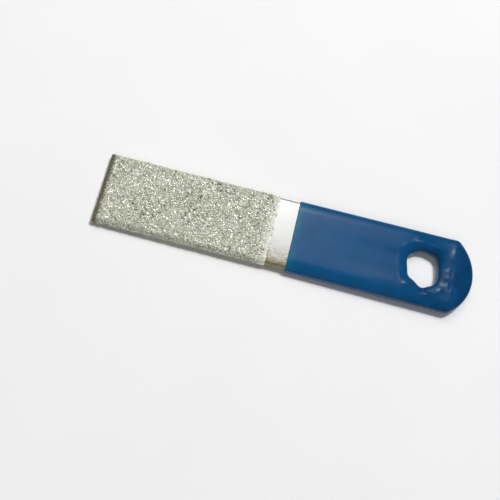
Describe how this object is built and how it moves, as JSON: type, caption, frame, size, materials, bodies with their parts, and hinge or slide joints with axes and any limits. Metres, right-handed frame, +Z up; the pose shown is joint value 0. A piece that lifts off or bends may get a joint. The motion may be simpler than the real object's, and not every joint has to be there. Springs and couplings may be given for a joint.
{
  "type": "diamond wheel dresser",
  "caption": "Flat hand dresser for grinding wheels: a steel bar with diamond grit on one half and a dipped blue vinyl grip with a hanging hole on the other.",
  "frame": {"origin": "middle of the base, on the surface that it lies on", "axes": "+X along the bar from the diamond tip to the grip, +Z up from the surface, with the diamond face upwards"},
  "size_m": [0.1296, 0.0272, 0.0055],
  "materials": {
    "steel": "bright ground steel with fine marks along its length",
    "diamond_grit": "fine sparkling diamond grit in a nickel bond",
    "vinyl": "satin to glossy dipped blue vinyl"
  },
  "bodies": {
    "root": {"steel_bar": "steel", "diamond_coat": "diamond_grit", "grip": "vinyl"}
  },
  "joints": []
}
